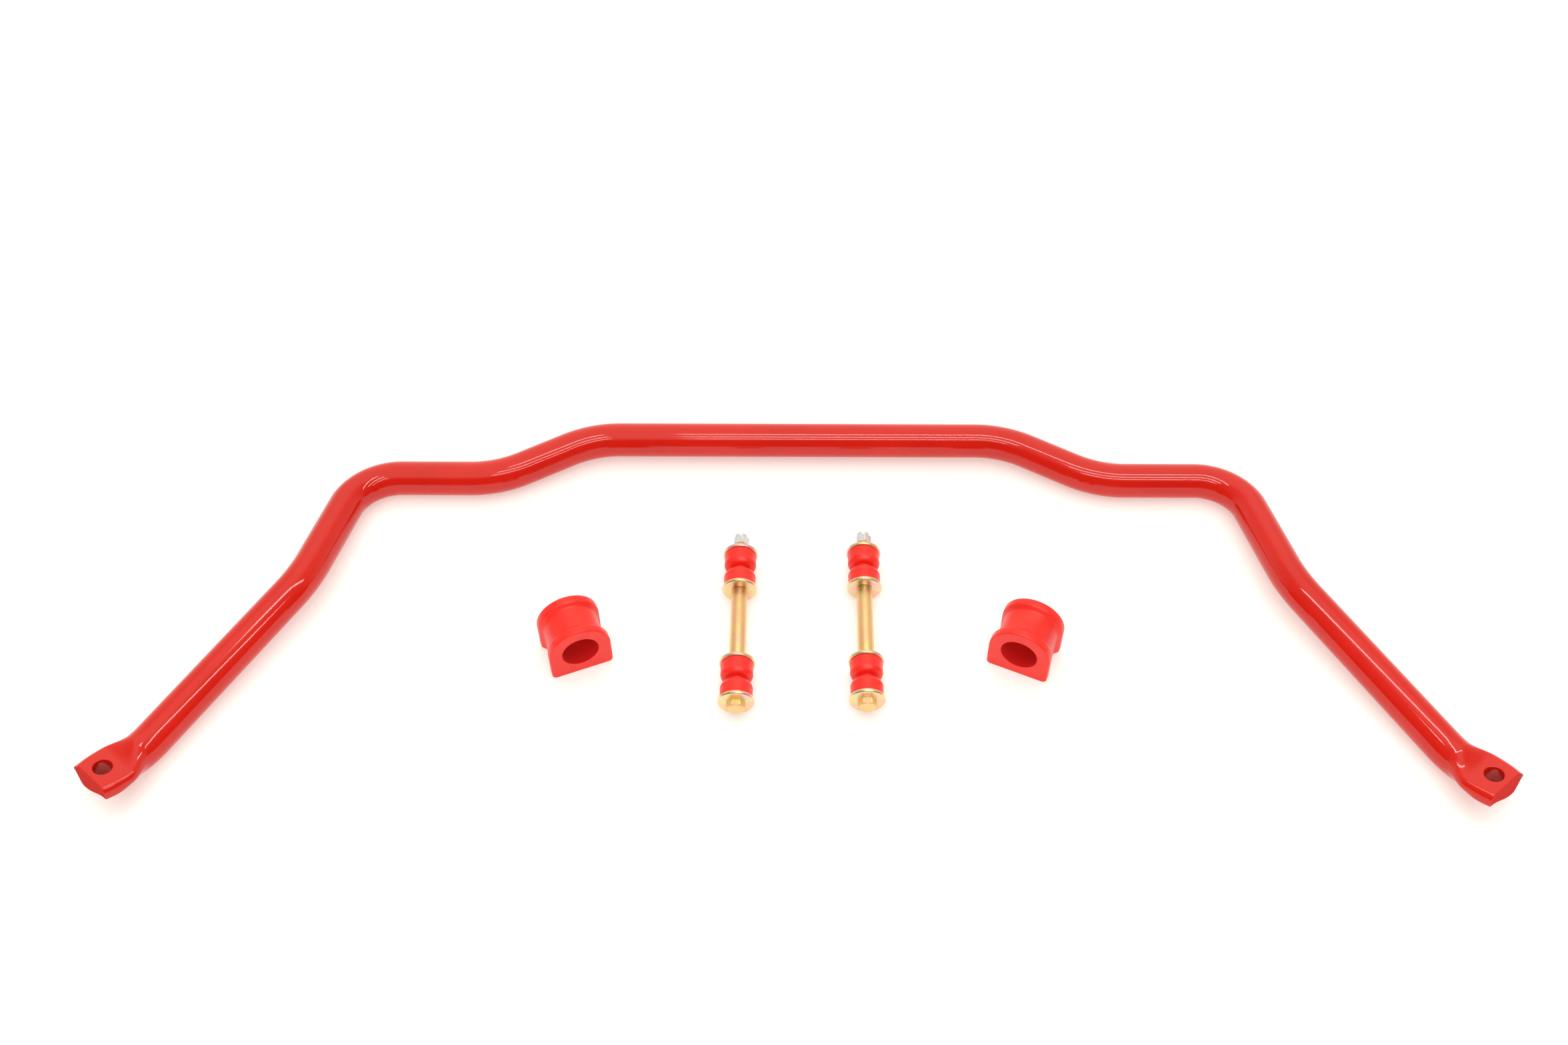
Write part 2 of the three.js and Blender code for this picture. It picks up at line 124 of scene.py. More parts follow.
# End link: its stack is measured along the bolt from the middle of the sleeve.
LATHE_SIDES = 96
WASHER_RADIUS = 15.45 * MM
WASHER_THICKNESS = 3.4 * MM
GROMMET_RADIUS = 14.2 * MM
NIPPLE_RADIUS = 7.7 * MM
SLEEVE_RADIUS = 7 * MM
SLEEVE_SPACE = 75.4 * MM
CLAMP_SPACE = 42.6 * MM
CONTACT_GAP = 0.03 * MM  # left between pieces that press on each other
SHANK_RADIUS = 4.76 * MM
THREAD_CREST = 4.7 * MM
THREAD_ROOT = 4.0 * MM
THREAD_PITCH = 25.4 / 16 * MM
THREAD_LENGTH = 38 * MM
PASSAGE_RADIUS = 5.1 * MM
HEAD_ACROSS_FLATS = 14 * MM
HEAD_HEIGHT = 6.35 * MM
NUT_ACROSS_FLATS = 13.2 * MM
NUT_HEX_HEIGHT = 8.2 * MM
NUT_COLLAR_HEIGHT = 3.3 * MM
NUT_COLLAR_RADIUS = 6.45 * MM
NUT_TURN = math.radians(20)
NUT_STANDOFF = 7.6 * MM
NUT_BORE_RADIUS = 4.75 * MM
INSERT_RADIUS = 5.65 * MM
INSERT_HEIGHT = 2.6 * MM
INSERT_BASE = 0.3 * MM + INSERT_HEIGHT  # below the nut's top
HEX_CORNER_ROUNDING = 0.35 * MM
LINK_HALF = SLEEVE_SPACE / 2 + CLAMP_SPACE
NUT_SEAT = LINK_HALF + NUT_STANDOFF
NUT_TOP = NUT_SEAT + NUT_HEX_HEIGHT + NUT_COLLAR_HEIGHT

# Camera.
CAMERA_PLACE = (0.00237, -0.8892, 1.2011)
CAMERA_SENSOR = 36  # this and the lens are in millimetres, as a camera's own settings are
CAMERA_LENS = 38.69
CAMERA_PITCH = math.radians(50.456)  # downwards
CAMERA_YAW = math.radians(-0.83)
CAMERA_ROLL = math.radians(-0.424)

# Floor, surroundings and lights.
FLOOR_REACH = 300
FLOOR_GAP = 0.3 * MM
# The brightness of the surroundings, as (degrees up from the front horizon and over to the back, value).
SWEEP_STOPS = [(0, 0.5), (5, 0.4), (9, 0.10), (42, 0.12), (60, 1.2), (180, 1.2)]
SIDE_STOPS = [
    (0, 0.5), (5, 0.4), (9, 0.12), (50, 0.15), (75, 0.28), (105, 0.52), (140, 0.78), (180, 0.95),
]
ASIDE_START = 0.22  # sine of the angle to either side at which the sweep begins to give way to the sides
ASIDE_END = 0.5
TUBE_COUNT = 3
TUBE_HEIGHT = 1.25
TUBE_LEFT = -0.2
TUBE_RIGHT = 0.95
TUBE_WIDTH = 0.08
TUBE_POWER = 3.0
FIRST_TUBE_Y = CENTRE_Y - 0.05
TUBE_SPACING = 0.4


# ---------------------------------------------------------------- small maths

def lerp(a, b, share):
    """The value a share of the way from a to b."""
    return a + (b - a) * share


def smoothstep(x, low=0.0, high=1.0):
    """0 up to low, 1 from high on, and an S-shaped rise between."""
    share = min(1, max(0, (x - low) / (high - low)))
    return share * share * (3 - 2 * share)


def quarter_round(steps):
    """Angles over a quarter turn, both ends included."""
    return [math.pi / 2 * k / steps for k in range(steps + 1)]


def filleted(corners, steps=6):
    """The points of an open outline whose corners are (u, v, fillet radius)."""
    points = []
    count = len(corners)
    for i, (u, v, radius) in enumerate(corners):
        here = Vector((u, v))
        if radius == 0 or i in (0, count - 1):
            points.append(here)
            continue
        back = Vector(corners[i - 1][:2]) - here
        ahead = Vector(corners[i + 1][:2]) - here
        half = back.angle(ahead) / 2
        setback = min(radius / math.tan(half), 0.49 * back.length, 0.49 * ahead.length)
        radius = setback * math.tan(half)
        centre = here + (back.normalized() + ahead.normalized()).normalized() * (radius / math.sin(half))
        start = here + back.normalized() * setback - centre
        turn = start.angle_signed(here + ahead.normalized() * setback - centre)
        for k in range(steps + 1):
            points.append(centre + Matrix.Rotation(-turn * k / steps, 2) @ start)
    return points


# ---------------------------------------------------------------- mesh helpers

def mesh_object(name, points, faces, crease_degrees=32):
    """A smooth-shaded mesh object whose edges sharper than crease_degrees stay crisp."""
    mesh = bpy.data.meshes.new(name)
    mesh.from_pydata(points, [], faces)
    work = bmesh.new()
    work.from_mesh(mesh)
    bmesh.ops.remove_doubles(work, verts=work.verts, dist=WELD_DISTANCE)
    bmesh.ops.dissolve_degenerate(work, edges=work.edges, dist=SLIVER)
    bmesh.ops.recalc_face_normals(work, faces=work.faces)
    if work.calc_volume(signed=True) < 0:
        bmesh.ops.reverse_faces(work, faces=work.faces)
    work.to_mesh(mesh)
    work.free()
    finish_shading(mesh, crease_degrees)
    made = bpy.data.objects.new(name, mesh)
    bpy.context.scene.collection.objects.link(made)
    return made


def finish_shading(mesh, crease_degrees):
    """Smooth shading that breaks at edges sharper than crease_degrees."""
    mesh.shade_smooth()
    mesh.set_sharp_from_angle(angle=math.radians(crease_degrees))


def skin(rings, ends="capped"):
    """Points and faces of a skin over rings of equal length; ends are capped, or joined to each other."""
    sides = len(rings[0])
    points = [p for ring in rings for p in ring]
    faces = []
    spans = len(rings) if ends == "joined" else len(rings) - 1
    for r in range(spans):
        here = r * sides
        there = (r + 1) % len(rings) * sides
        for k in range(sides):
            following = (k + 1) % sides
            faces.append((here + k, here + following, there + following, there + k))
    if ends == "capped":
        faces.append(tuple(reversed(range(sides))))
        faces.append(tuple(range(len(points) - sides, len(points))))
    return points, faces


def circle(radius, y, sides=LATHE_SIDES):
    """A ring of points round the Y axis."""
    angles = [2 * math.pi * k / sides for k in range(sides)]
    return [Vector((radius * math.cos(a), y, radius * math.sin(a))) for a in angles]


def turned(name, outline, centre):
    """A ring turned about the Y axis through centre, from a closed outline of (radius, y) points."""
    rings = [circle(radius, y) for radius, y in outline]
    made = mesh_object(name, *skin(rings, ends="joined"))
    made.data.transform(Matrix.Translation(centre))
    return made


def stand_for(piece, node, body, material):
    """The piece takes over from a CAD node and rides on its body."""
    piece.data.materials.append(material)
    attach(piece, body)
    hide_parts(node)


# ---------------------------------------------------------------- material helpers

class Shader:
    """A material's nodes: add() makes one, and link() joins two sockets."""

    def __init__(self, name):
        self.material = bpy.data.materials.new(name)
        self.material.use_nodes = True
        self.nodes = self.material.node_tree.nodes
        self.surface = self.nodes["Principled BSDF"]

    def add(self, kind, **settings):
        node = self.nodes.new("ShaderNode" + kind)
        for key, value in settings.items():
            setattr(node, key, value)
        return node

    def link(self, source, target):
        self.material.node_tree.links.new(source, target)

    def set(self, **values):
        """Constants on the surface's own sockets, named with _ for a space."""
        for key, value in values.items():
            self.surface.inputs[key.replace("_", " ")].default_value = value

    def drive(self, **sources):
        """Outputs joined to the surface's own sockets, named with _ for a space."""
        for key, source in sources.items():
            self.link(source, self.surface.inputs[key.replace("_", " ")])

    def place(self):
        """The coordinate that patterns use. It stays with the surface when the piece moves or twists."""
        return self.add("TexCoord").outputs["Object"]

    def inside(self):
        """1 on the walls of bores, whose colour the materials darken as painted shade, and 0 elsewhere."""
        return self.add("Attribute", attribute_name="inside").outputs["Fac"]

    def dulled(self, roughness):
        """The given roughness, but 1 on the walls of bores and on cut ends."""
        node = self.add("Math", operation="MAXIMUM")
        self.link(roughness, node.inputs[0])
        self.link(self.add("Attribute", attribute_name="dull").outputs["Fac"], node.inputs[1])
        return node.outputs["Value"]

    def noise(self, scale, detail, place=None):
        """Cloudy noise from 0 to 1, in cells about 1 / scale metres across."""
        node = self.add("TexNoise")
        node.inputs["Scale"].default_value = scale
        node.inputs["Detail"].default_value = detail
        self.link(place or self.place(), node.inputs["Vector"])
        return node.outputs["Fac"]

    def ramp(self, source, stops):
        """Maps a value through (position, colour) stops."""
        node = self.add("ValToRGB")
        elements = node.color_ramp.elements
        while len(elements) < len(stops):
            elements.new(0.5)
        for element, (position, colour) in zip(elements, stops):
            element.position = position
            element.color = (*colour, 1)
        self.link(source, node.inputs["Fac"])
        return node.outputs["Color"]

    def spread(self, source, low, high, to_low, to_high):
        """Maps a value from one range to another, and holds it there."""
        node = self.add("MapRange")
        for key, value in zip(("From Min", "From Max", "To Min", "To Max"), (low, high, to_low, to_high)):
            node.inputs[key].default_value = value
        self.link(source, node.inputs["Value"])
        return node.outputs["Result"]

    def mix(self, share, first, second):
        """Mixes two colours by a share from 0 to 1. Each of the three is a constant or a socket."""
        node = self.add("Mix", data_type="RGBA")
        sockets = [s for s in node.inputs if s.type == "RGBA"]
        for socket, colour in zip(sockets, (first, second)):
            if isinstance(colour, tuple):
                socket.default_value = (*colour, 1)
            else:
                self.link(colour, socket)
        if isinstance(share, float):
            node.inputs["Factor"].default_value = share
        else:
            self.link(share, node.inputs["Factor"])
        return next(s for s in node.outputs if s.type == "RGBA")

    def bump(self, height, strength, distance):
        """Tilts the surface's shading by a height pattern."""
        node = self.add("Bump")
        node.inputs["Strength"].default_value = strength
        node.inputs["Distance"].default_value = distance
        self.link(height, node.inputs["Height"])
        self.link(node.outputs["Normal"], self.surface.inputs["Normal"])


# ---------------------------------------------------------------- materials

def powder_coat():
    """Gloss red powder coat: faint orange peel, blotches and dust, bare steel where it is chipped, and
    painted shade on the walls of the eye holes.
    """
    shader = Shader("powder_coat")
    rest = shader.add("Attribute", attribute_name="rest_place").outputs["Vector"]
    blotches = shader.noise(14, detail=3, place=rest)
    red = shader.ramp(blotches, [(0.35, (0.60, 0.0085, 0.0025)), (0.65, (0.65, 0.0105, 0.0035))])
    specks = shader.spread(shader.noise(2600, detail=1, place=rest), 0.78, 0.82, 0.0, 0.7)
    speckled = shader.mix(specks, red, (0.85, 0.35, 0.28))
    # The walls of the eye holes get a dark red: painted shade, not a colour of the coat.
    coat_with_bore_shade = shader.mix(shader.inside(), speckled, (0.26, 0.003, 0.001))
    wear = shader.add("Attribute", attribute_name="wear").outputs["Fac"]
    ragged = shader.add("Math", operation="ADD")
    shader.link(wear, ragged.inputs[0])
    tearing = shader.spread(shader.noise(900, detail=3, place=rest), 0.3, 0.7, -0.35, 0.35)
    shader.link(tearing, ragged.inputs[1])
    bare = shader.spread(ragged.outputs["Value"], 0.6, 0.7, 0.0, 1.0)
    shader.drive(
        Base_Color=shader.mix(bare, coat_with_bore_shade, (0.30, 0.27, 0.25)),
        Metallic=shader.spread(bare, 0, 1, 0.0, 0.7),
        Roughness=shader.dulled(shader.spread(blotches, 0.3, 0.7, 0.05, 0.08)),
    )
    shader.set(IOR=1.5)
    shader.bump(shader.noise(420, detail=2, place=rest), 0.008, 0.3 * MM)
    return shader.material


def polyurethane():
    """Moulded red polyurethane: semi-gloss, slightly cloudy, with a faint grain and dust in its skin, and
    painted shade on the walls of bores.
    """
    shader = Shader("polyurethane")
    cloud = shader.noise(60, detail=3)
    red = shader.ramp(cloud, [(0.3, (0.84, 0.018, 0.010)), (0.7, (0.92, 0.024, 0.014))])
    dust = shader.spread(shader.noise(1500, detail=2), 0.68, 0.78, 0.0, 0.35)
    dusty = shader.mix(dust, red, (1.0, 0.35, 0.28))
    grain = shader.noise(240, detail=4)
    # The walls of the bores get a dark red base colour: painted shade.
    shader.drive(
        Base_Color=shader.mix(shader.inside(), dusty, (0.62, 0.003, 0.001)),
        Roughness=shader.dulled(shader.spread(grain, 0.3, 0.7, 0.3, 0.42)),
    )
    shader.set(IOR=1.45, Subsurface_Weight=0.12, Subsurface_Scale=2 * MM)
    shader.set(Subsurface_Radius=(1.0, 0.2, 0.1))
    shader.bump(shader.noise(700, detail=3), 0.08, 0.2 * MM)
    return shader.material


def yellow_zinc(name, depth, roughness):
    """Yellow zinc plate: gold that drifts to pink and green, with handling marks. Depth runs from 0 to 1."""
    shader = Shader(name)
    patches = shader.noise(70, detail=2)
    gold = shader.ramp(patches, [
        (0.36, (0.90, 0.56, 0.44)),
        (0.44, (0.88, 0.62, 0.38)),
        (0.51, (0.86, 0.70, 0.36)),
        (0.57, (0.68, 0.70, 0.42)),
        (0.64, (0.92, 0.58, 0.50)),
    ])
    marks = shader.noise(500, detail=3)
    shader.drive(
        Base_Color=shader.mix(depth, gold, (0.98, 0.58, 0.22)),
        Roughness=shader.spread(marks, 0.3, 0.7, roughness - 0.05, roughness + 0.05),
    )
    shader.set(Metallic=1.0)
    shader.bump(shader.noise(260, detail=2), 0.02, 0.15 * MM)
    return shader.material


def clear_zinc():
    """Bright clear zinc plate, faintly mottled."""
    shader = Shader("clear_zinc")
    mottle = shader.noise(300, detail=3)
    shader.drive(
        Base_Color=shader.ramp(mottle, [(0.35, (0.84, 0.87, 0.95)), (0.65, (0.94, 0.95, 0.99))]),
        Roughness=shader.spread(mottle, 0.3, 0.7, 0.14, 0.24),
    )
    shader.set(Metallic=1.0)
    shader.bump(shader.noise(300, detail=2), 0.015, 0.1 * MM)
    return shader.material


def nylon():
    """White nylon, slightly uneven."""
    shader = Shader("nylon")
    mottle = shader.noise(400, detail=2)
    shader.drive(
        Base_Color=shader.ramp(mottle, [(0.3, (0.78, 0.78, 0.72)), (0.7, (0.86, 0.86, 0.82))]),
        Roughness=shader.spread(mottle, 0.3, 0.7, 0.35, 0.5),
    )
    return shader.material


POWDER_COAT = powder_coat()
POLYURETHANE = polyurethane()
ZINC = yellow_zinc("yellow_zinc", 0.0, 0.3)
DEEP_ZINC = yellow_zinc("deep_yellow_zinc", 0.55, 0.42)
CLEAR_ZINC = clear_zinc()
NYLON = nylon()


# ---------------------------------------------------------------- the bar

def bent_path(corners, radii):
    """Stations (point, direction) along straight runs joined by round bends."""
    def toward(a, b):
        return (b - a).normalized()

    stations = [(corners[0].copy(), toward(corners[0], corners[1]))]
    for before, here, after, radius in zip(corners, corners[1:], corners[2:], radii):
        inward, outward = toward(before, here), toward(here, after)
        angle = inward.angle(outward)
        start = here - inward * (radius * math.tan(angle / 2))
        axis = inward.cross(outward).normalized()
        centre = start + axis.cross(inward) * radius
        steps = math.ceil(angle / BEND_STEP)
        for k in range(steps + 1):
            turn = Quaternion(axis, angle * k / steps)
            stations.append((turn @ (start - centre) + centre, turn @ inward))
    stations.append((corners[-1].copy(), toward(corners[-2], corners[-1])))
    return stations


def dense_path(stations):
    """The path with more stations on straight runs, each as (point, direction, distance from the end)."""
    dense = []
    from_end = 0
    for here, before in zip(stations[::-1], stations[-2::-1]):
        length = (here[0] - before[0]).length
        done = 0
        while done < length - SLIVER:
            share = done / length
            point = here[0].lerp(before[0], share)
            dense.append((point, here[1].lerp(before[1], share).normalized(), from_end + done))
            step = PAD_STEP if from_end + done < SPREAD_START else STRAIGHT_STEP
            remaining = length - done
            done += remaining if remaining < 1.5 * step else step
        from_end += length
    dense.append((*stations[0], from_end))
    return dense[::-1]


def belly_depth(share):
    """The underside's depth at a share of the half width, from -1 (outer side) to +1 (inner ridge)."""
    toward_inner = (share + PAD_BELLY_SHIFT) / (1 + PAD_BELLY_SHIFT)
    toward_outer = -(share + PAD_BELLY_SHIFT) / (1 - PAD_BELLY_SHIFT)
    if toward_inner > 0:
        return lerp(-PAD_INNER_RIDGE, PAD_BELLY, smoothstep(1 - toward_inner))
    return PAD_BELLY * smoothstep(PAD_BELLY_FULLNESS * (1 - toward_outer))


def crisp_pressed_point(angle, half_width):
    """The pressed section at an angle round the rod, measured from the inner ridge over the top."""
    across, up = math.cos(angle), math.sin(angle)
    if up < -SLIVER:
        return Vector((half_width * across, -belly_depth(across)))
    inner = across > 0
    ridge = PAD_INNER_RIDGE if inner else 0
    inset = PAD_INNER_INSET if inner else PAD_OUTER_INSET
    bulge = PAD_INNER_BULGE if inner else PAD_OUTER_BULGE
    rise = min(1, max(0, up) / PAD_FLAT_SHARE)
    if rise < 1:
        x = math.copysign(half_width - inset * rise ** bulge, across)
    else:
        x = (half_width - inset) * across / math.sqrt(1 - PAD_FLAT_SHARE ** 2)
    return Vector((x, lerp(ridge, PAD_TOP, rise)))


def pressed_point(angle, half_width):
    """The pressed section with its edges slightly rounded."""
    nudges = [PAD_SOFTENING * k / 2 for k in range(-2, 3)]
    return sum((crisp_pressed_point(angle + n, half_width) for n in nudges), Vector((0, 0))) / len(nudges)


def drawn_in(section, distance):
    """A pressed section made smaller all round by about that distance."""
    middle = (PAD_TOP - PAD_BELLY) / 2
    across = 1 - distance / PAD_END_HALF_WIDTH
    upward = 1 - distance / (PAD_TOP - middle)
    return [Vector((p.x * across, middle + (p.y - middle) * upward)) for p in section]


def bar_section(from_end):
    """The bar's section at a distance from its end: round, pressed, or on its way from one to the other."""
    spread = 1 - smoothstep(from_end, SPREAD_END, SPREAD_START)
    pressed = 1 - smoothstep(from_end, PRESS_END, PRESS_START)
    belly_pressed = 1 - smoothstep(from_end, BELLY_END, BELLY_START)
    taper = max(0, 1 - from_end / PAD_WIDEST_AT) ** 2
    half_width = lerp(PAD_HALF_WIDTH, PAD_END_HALF_WIDTH, taper)
    section = []
    for k in range(BAR_SIDES):
        angle = 2 * math.pi * k / BAR_SIDES
        point = Vector((math.cos(angle), math.sin(angle))) * BAR_RADIUS
        if spread > 0:
            flat = pressed_point(angle, half_width)
            upper = smoothstep(math.sin(angle), -BELLY_BLEND, BELLY_BLEND)
            across = lerp(belly_pressed, spread, upper)
            upward = lerp(belly_pressed, pressed, upper)
            point = Vector((lerp(point.x, flat.x, across), lerp(point.y, flat.y, upward)))
        section.append(point)
    return section


def cross_directions(along):
    """The level direction across a run of the bar, and the one square to both."""
    side = along.cross(Vector((0, 0, 1))).normalized()
    return side, side.cross(along)


def bar_ring(point, along, section):
    """A section's points, placed round a point of the bar's centre line."""
    side, up = cross_directions(along)
    return [point + side * at.x + up * at.y for at in section]


def half_bar_rings():
    """Rings of the right half, from the bar's middle to its end, whose edge is slightly rounded."""
    rings = []
    for point, along, from_end in dense_path(bent_path(BAR_CORNERS, BEND_RADII)):
        if from_end > END_ROUNDING + SLIVER:
            rings.append(bar_ring(point, along, bar_section(from_end)))
    end, along = BAR_CORNERS[-1], (BAR_CORNERS[-1] - BAR_CORNERS[-2]).normalized()
    for turn in quarter_round(4):
        from_end = END_ROUNDING * (1 - math.sin(turn))
        section = drawn_in(bar_section(from_end), END_ROUNDING * (1 - math.cos(turn)))
        rings.append(bar_ring(end - along * from_end, along, section))
    rings.append(bar_ring(end, along, drawn_in(bar_section(0), END_FACE_INSET)))
    return rings


def mirrored(ring):
    """The same ring on the other side."""
    return [Vector((-p.x, p.y, p.z)) for p in ring]


def eye_hole():
    """Where the right eye's hole crosses the pad's middle line, and its axis."""
    along = (BAR_CORNERS[-1] - BAR_CORNERS[-2]).normalized()
    return BAR_CORNERS[-1] - along * EYE_HOLE_SETBACK, cross_directions(along)[1]


def eye_drill(side):
    """A cutter whose upper end flares, so that it leaves a rounded rim on the pad's flat top."""
    centre, axis = eye_hole()
    overshoot = 0.04 * MM  # the flare ends just above the flat, so that the two never share a plane
    flare_end = PAD_TOP + overshoot
    profile = [(EYE_HOLE_RADIUS, -2 * PAD_BELLY)]
    for turn in quarter_round(6):
        out = EYE_HOLE_ROUNDING * (1 - math.cos(turn))
        profile.append((EYE_HOLE_RADIUS + out, flare_end - EYE_HOLE_ROUNDING * (1 - math.sin(turn))))
    profile.append((EYE_HOLE_RADIUS + 1.05 * EYE_HOLE_ROUNDING, 2 * PAD_TOP))
    drill = mesh_object("eye_drill", *skin([circle(radius, y, 72) for radius, y in profile]))
    upright = Vector((0, 1, 0)).rotation_difference(axis).to_matrix().to_4x4()
    drill.data.transform(Matrix.Translation(centre) @ upright)
    if side < 0:
        drill.data.transform(Matrix.Scale(-1, 4, Vector((1, 0, 0))))
        drill.data.flip_normals()
    return drill


def cut(piece, cutters):
    """Subtracts the cutters from the piece and removes them."""
    for cutter in cutters:
        modifier = piece.modifiers.new("cut", "BOOLEAN")
        modifier.operation = "DIFFERENCE"
        modifier.solver = "EXACT"
        modifier.object = cutter
    evaluated = piece.evaluated_get(bpy.context.evaluated_depsgraph_get())
    result = bpy.data.meshes.new_from_object(evaluated)
    piece.modifiers.clear()
    piece.data = result
    for cutter in cutters:
        bpy.data.objects.remove(cutter)


def mark(mesh, name, is_marked):
    """Stores 1 at the points that pass a test and 0 at the others, for a material to read."""
    stored = mesh.attributes.new(name, "FLOAT", "POINT")
    for vertex in mesh.vertices:
        stored.data[vertex.index].value = 1.0 if is_marked(vertex.co) else 0.0


def in_eye_hole(point):
    """Whether a point is on the wall of either eye hole, below its rounded rim."""
    centre, axis = eye_hole()
    offset = Vector((abs(point.x), point.y, point.z)) - centre
    height = offset.dot(axis)
    return (offset - axis * height).length < 1.02 * EYE_HOLE_RADIUS and height < PAD_TOP - EYE_HOLE_ROUNDING


def end_face_test(face_ring):
    """A test of whether a point is on the flat end of either eye, from one ring on the right end."""
    tolerance = 0.01 * MM
    middle = sum(face_ring, Vector((0, 0, 0))) / len(face_ring)
    normal = (face_ring[0] - middle).cross(face_ring[BAR_SIDES // 4] - middle).normalized()

    def on_end_face(point):
        offset = Vector((abs(point.x), point.y, point.z)) - middle
        return abs(offset.dot(normal)) < tolerance and offset.length < 2 * PAD_HALF_WIDTH

    return on_end_face


def mark_rest(mesh, wear_at):
    """Stores each point's place at rest, for patterns to hold on to, and how worn it is."""
    places = mesh.attributes.new("rest_place", "FLOAT_VECTOR", "POINT")
    for vertex in mesh.vertices:
        places.data[vertex.index].vector = vertex.co
    wear = mesh.attributes.new("wear", "FLOAT", "POINT")
    for vertex in mesh.vertices:
        nearest = min((vertex.co - spot).length for spot in wear_at)
        wear.data[vertex.index].value = max(0, 1 - nearest / WEAR_REACH)


def build_bar():
    """One unbroken bar over both CAD halves, which twists between its two mounting straights."""
    right = half_bar_rings()
    left = [mirrored(ring) for ring in right[:0:-1]]
    bar = mesh_object("sway_bar", *skin(left + right))
    cut(bar, [eye_drill(1), eye_drill(-1)])
    finish_shading(bar.data, 40)
    on_end_face = end_face_test(right[-1])
    # Marks the walls of the eye holes, where the coat's colour is darkened as painted shade.
    mark(bar.data, "inside", in_eye_hole)
    mark(bar.data, "dull", lambda point: in_eye_hole(point) or on_end_face(point))
    outer_tip = right[-3][BAR_SIDES // 2]
    mark_rest(bar.data, [outer_tip, *mirrored([outer_tip])])
    bar.data.materials.append(POWDER_COAT)
    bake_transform(bar)
    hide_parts("bar_left_half", "bar_right_half")


# ---------------------------------------------------------------- frame bushings

def bushing_outline(inset):
    """The D-shaped section as (x, z) points, drawn in by inset everywhere but at its flat base."""
    half = BUSHING_RADIUS - inset
    points = []
    arch_steps = 64
    for k in range(arch_steps + 1):
        angle = math.pi * k / arch_steps
        points.append((half * math.cos(angle), BUSHING_BORE_HEIGHT + half * math.sin(angle)))
    wall_steps = 12
    foot = BUSHING_CORNER
    for k in range(1, wall_steps):
        points.append((-half, lerp(BUSHING_BORE_HEIGHT, foot, k / wall_steps)))
    for turn in quarter_round(6):
        points.append((-half + foot * (1 - math.cos(turn)), foot * (1 - math.sin(turn))))
    base_steps = 24
    for k in range(1, base_steps):
        points.append((lerp(-half + foot, half - foot, k / base_steps), 0))
    for turn in quarter_round(6):
        points.append((half - foot * (1 - math.sin(turn)), foot * (1 - math.cos(turn))))
    for k in range(1, wall_steps):
        points.append((half, lerp(foot, BUSHING_BORE_HEIGHT, k / wall_steps)))
    return points


def bushing_profile():
    """(distance from the front end face, how far the outline is drawn in), from front to back."""
    half = [(0, 1.5 * BUSHING_EDGE)]  # keeps the end face flat inside its rounded edge
    for turn in quarter_round(5):
        half.append((BUSHING_EDGE * (1 - math.cos(turn)), BUSHING_EDGE * (1 - math.sin(turn))))
    steps = 12
    for k in range(steps + 1):
        share = k / steps
        half.append((BUSHING_FLANGE + BUSHING_WAIST_RUN * share, BUSHING_WAIST * smoothstep(share)))
    return half + [(BUSHING_LENGTH - y, inset) for y, inset in reversed(half)]


def in_bushing_bore(point):
    """Whether a point of an upright bushing, not yet put in its place, is on its bore."""
    from_axis = math.hypot(point.x, point.z - BUSHING_BORE_HEIGHT)
    return from_axis < BUSHING_BORE_RADIUS + 0.5 * BUSHING_BORE_EDGE


def build_bushing(side):
    """A D-shaped bushing with flanged ends and a waist: its outside, and then back through its bore."""
    rings = [[Vector((x, y, z)) for x, z in bushing_outline(inset)] for y, inset in bushing_profile()]
    angles = [math.atan2(p.z - BUSHING_BORE_HEIGHT, p.x) for p in rings[0]]

    def bore_ring(radius, y):
        around = [(radius * math.cos(a), radius * math.sin(a)) for a in angles]
        return [Vector((x, y, BUSHING_BORE_HEIGHT + z)) for x, z in around]

    edge = BUSHING_BORE_EDGE
    back_edge = [
        (BUSHING_BORE_RADIUS + edge * (1 - math.sin(t)), BUSHING_LENGTH - edge * (1 - math.cos(t)))
        for t in quarter_round(4)
    ]
    back_edge.insert(0, (BUSHING_BORE_RADIUS + 2 * edge, BUSHING_LENGTH))
    bore = back_edge + [(radius, BUSHING_LENGTH - y) for radius, y in reversed(back_edge)]
    rings += [bore_ring(radius, y) for radius, y in bore]
    node = f"{side}_frame_bushing"
    bushing = mesh_object(f"{side}_bushing_body", *skin(rings, ends="joined"), 38)
    # Marks the bore's walls, where the polyurethane's colour is darkened as painted shade.
    mark(bushing.data, "inside", in_bushing_bore)
    mark(bushing.data, "dull", in_bushing_bore)
    low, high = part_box(node)
    middle = (low + high) / 2
    turn = Matrix.Rotation(BUSHING_TURN[side], 4, "Z")
    centring = Matrix.Translation((0, -BUSHING_LENGTH / 2, 0))
    bushing.data.transform(Matrix.Translation((middle.x, middle.y, 0)) @ turn @ centring)
    stand_for(bushing, node, f"{side}_bushing", POLYURETHANE)


# ---------------------------------------------------------------- end links

def washer_outline(face, inward):
    """A washer from its flat face at y = face, growing along inward, 1 or -1."""
    corners = [
        (PASSAGE_RADIUS, 0, 0),
        (WASHER_RADIUS, 0, 1.3 * MM),
        (WASHER_RADIUS, WASHER_THICKNESS, 0.9 * MM),
        (PASSAGE_RADIUS, WASHER_THICKNESS, 0),
    ]
    return [(p.x, face + inward * p.y) for p in filleted(corners)]


